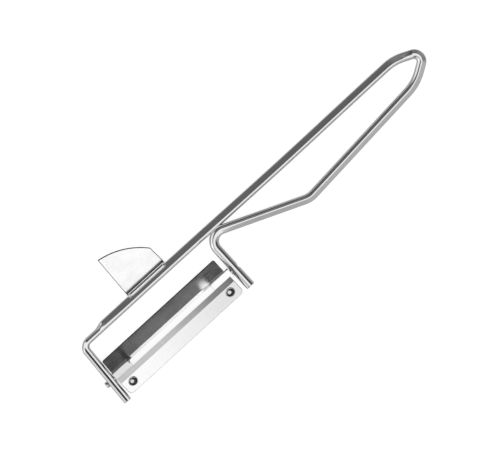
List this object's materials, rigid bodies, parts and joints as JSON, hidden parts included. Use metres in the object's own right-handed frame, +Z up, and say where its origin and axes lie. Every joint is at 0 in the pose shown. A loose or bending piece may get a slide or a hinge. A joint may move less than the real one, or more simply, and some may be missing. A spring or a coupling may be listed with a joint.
{
  "type": "swivel vegetable peeler",
  "caption": "All-metal vegetable peeler: bent wire handle with a pointed hanging loop, a slotted blade head that swivels between the legs, and a side fin for digging out potato eyes.",
  "frame": {"origin": "bottom centre of the bounding box, with the peeler lying flat, blade crest up", "axes": "+X along the arm from the blade head to the hanging loop, +Y from the blade head to the fin, +Z up from the table"},
  "size_m": [0.1788, 0.0486, 0.0095],
  "materials": {
    "wire": "polished nickel plate on drawn wire",
    "sheet": "bright stamped stainless sheet",
    "blade": "satin hardened steel with a ground bevel",
    "rivet": "bright rolled steel"
  },
  "bodies": {
    "handle": {"handle_frame": "wire", "eye_remover": "sheet"},
    "blade_head": {"blade_carrier": "sheet", "cutting_blade": "blade", "blade_rivet_left": "rivet", "blade_rivet_right": "rivet", "pivot_pin_left": "rivet", "pivot_pin_right": "rivet"}
  },
  "joints": [
    {"name": "blade_swivel", "type": "hinge", "parent": "handle", "child": "blade_head", "pos_m": [-0.054, -0.0141, 0.0019], "axis": [1, 0, 0], "continuous": true}
  ]
}
